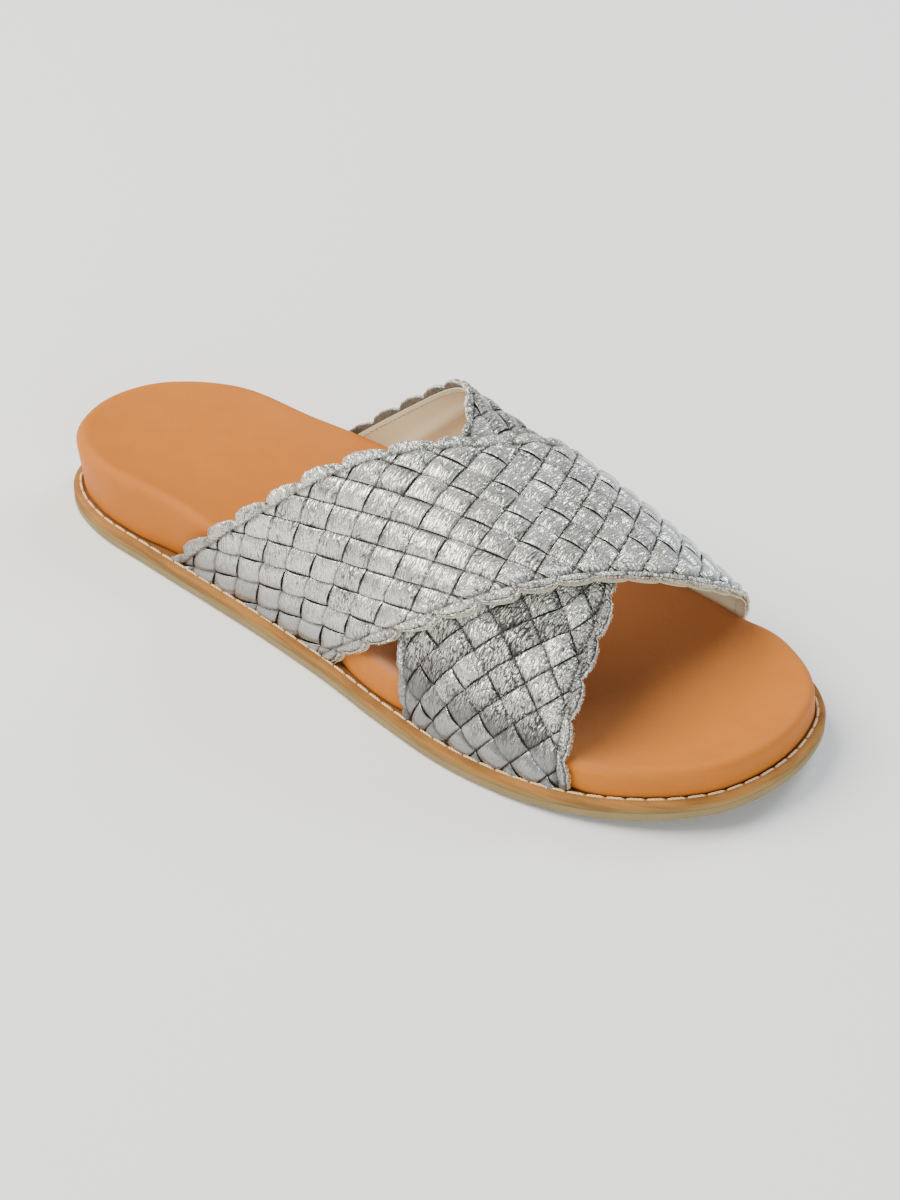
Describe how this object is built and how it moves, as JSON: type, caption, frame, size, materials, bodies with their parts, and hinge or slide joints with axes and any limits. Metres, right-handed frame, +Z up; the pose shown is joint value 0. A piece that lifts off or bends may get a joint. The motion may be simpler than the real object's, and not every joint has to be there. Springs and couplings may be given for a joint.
{
  "type": "woven sandal",
  "caption": "Right-foot slide sandal with plaited leather straps crossing over the forefoot, a moulded leather footbed and a stitched flat sole.",
  "frame": {"origin": "centre of the bounding box in plan, on the ground under the sole", "axes": "+X from heel to toe, +Y towards the inner side of the foot, +Z up"},
  "size_m": [0.262, 0.1005, 0.0719],
  "materials": {
    "gum": "satin gum rubber",
    "welt_leather": "waxed tan leather",
    "footbed_leather": "smooth tan leather",
    "woven_leather": "crackled pewter metallic leather",
    "lining": "matt cream lining",
    "thread": "waxed off-white thread"
  },
  "bodies": {
    "root": {"outsole": "gum", "welt": "welt_leather", "footbed": "footbed_leather", "upper": "woven_leather"}
  },
  "joints": []
}
